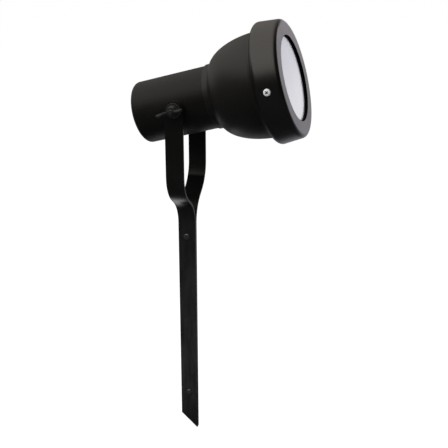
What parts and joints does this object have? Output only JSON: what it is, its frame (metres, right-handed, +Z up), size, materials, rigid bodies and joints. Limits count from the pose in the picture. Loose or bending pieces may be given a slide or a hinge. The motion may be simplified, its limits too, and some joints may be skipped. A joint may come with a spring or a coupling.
{
  "type": "garden spike spotlight",
  "caption": "Black garden spotlight: reflector lamp in a bowl with a deep bezel and frosted glass, tilting in a yoke of flat bars riveted into a ground spike.",
  "frame": {"origin": "on the spike's centreline at the ground line, where the two bars meet face to face", "axes": "+X the way the lamp aims, +Y its left side, +Z up along the spike"},
  "size_m": [0.2109, 0.1406, 0.545],
  "materials": {
    "satin_black": "satin powder coat",
    "black_hardware": "black coated zinc alloy and steel",
    "zinc_steel": "bright zinc plate",
    "frosted_glass": "frosted",
    "black_rubber": "matt",
    "black_nylon": "moulded",
    "mirrored_glass": "vacuum silvered",
    "lamp_glass": "pressed glass",
    "brass": "plain",
    "porcelain": "glazed white"
  },
  "bodies": {
    "spike": {"spike_strap_left": "satin_black", "spike_strap_right": "satin_black", "spike_rivets": "satin_black"},
    "head": {"rear_housing": "satin_black", "lamp_bowl": "satin_black", "bezel_ring": "satin_black", "bezel_screws": "zinc_steel", "front_glass": "frosted_glass", "glass_gasket": "black_rubber", "rim_seal": "black_rubber", "lamp_reflector": "mirrored_glass", "lamp_lens": "lamp_glass", "lamp_cap": "brass", "lamp_cap_insulator": "lamp_glass", "lamp_contact": "brass", "lamp_holder": "porcelain", "holder_shell": "brass", "holder_contact": "brass", "holder_screws": "zinc_steel", "holder_bracket": "zinc_steel", "bracket_screws": "zinc_steel", "earth_screw": "zinc_steel", "earth_tag": "brass", "gland_body": "black_nylon", "gland_seal": "black_rubber", "gland_nut": "black_nylon", "gland_locknut": "black_nylon", "pivot_bolt_left": "black_hardware", "pivot_bolt_right": "black_hardware", "pivot_spacer_left": "black_nylon", "pivot_spacer_right": "black_nylon", "bolt_saddles": "black_nylon"},
    "left_washer": {"arm_washer_left": "black_hardware"},
    "left_nut": {"wing_nut_left": "black_hardware"},
    "right_washer": {"arm_washer_right": "black_hardware"},
    "right_nut": {"wing_nut_right": "black_hardware"}
  },
  "joints": [
    {"name": "head_tilt", "type": "hinge", "parent": "spike", "child": "head", "pos_m": [0, 0, 0.23], "axis": [0, -1, 0], "range_deg": [-60, 209]},
    {"name": "left_washer_slide", "type": "slide", "parent": "head", "child": "left_washer", "axis": [0, 1, 0], "range_m": [0, 0.002]},
    {"name": "left_nut_turn", "type": "hinge", "parent": "left_washer", "child": "left_nut", "pos_m": [0, 0.0446, 0.23], "axis": [0, 1, 0], "range_deg": [0, 720]},
    {"name": "right_washer_slide", "type": "slide", "parent": "head", "child": "right_washer", "axis": [0, -1, 0], "range_m": [0, 0.002]},
    {"name": "right_nut_turn", "type": "hinge", "parent": "right_washer", "child": "right_nut", "pos_m": [0, -0.0446, 0.23], "axis": [0, -1, 0], "range_deg": [0, 720]}
  ],
  "couplings": [
    {"joint": "left_washer_slide", "follows": "left_nut_turn", "m_per_rad": 0.00015915},
    {"joint": "right_washer_slide", "follows": "right_nut_turn", "m_per_rad": 0.00015915}
  ]
}
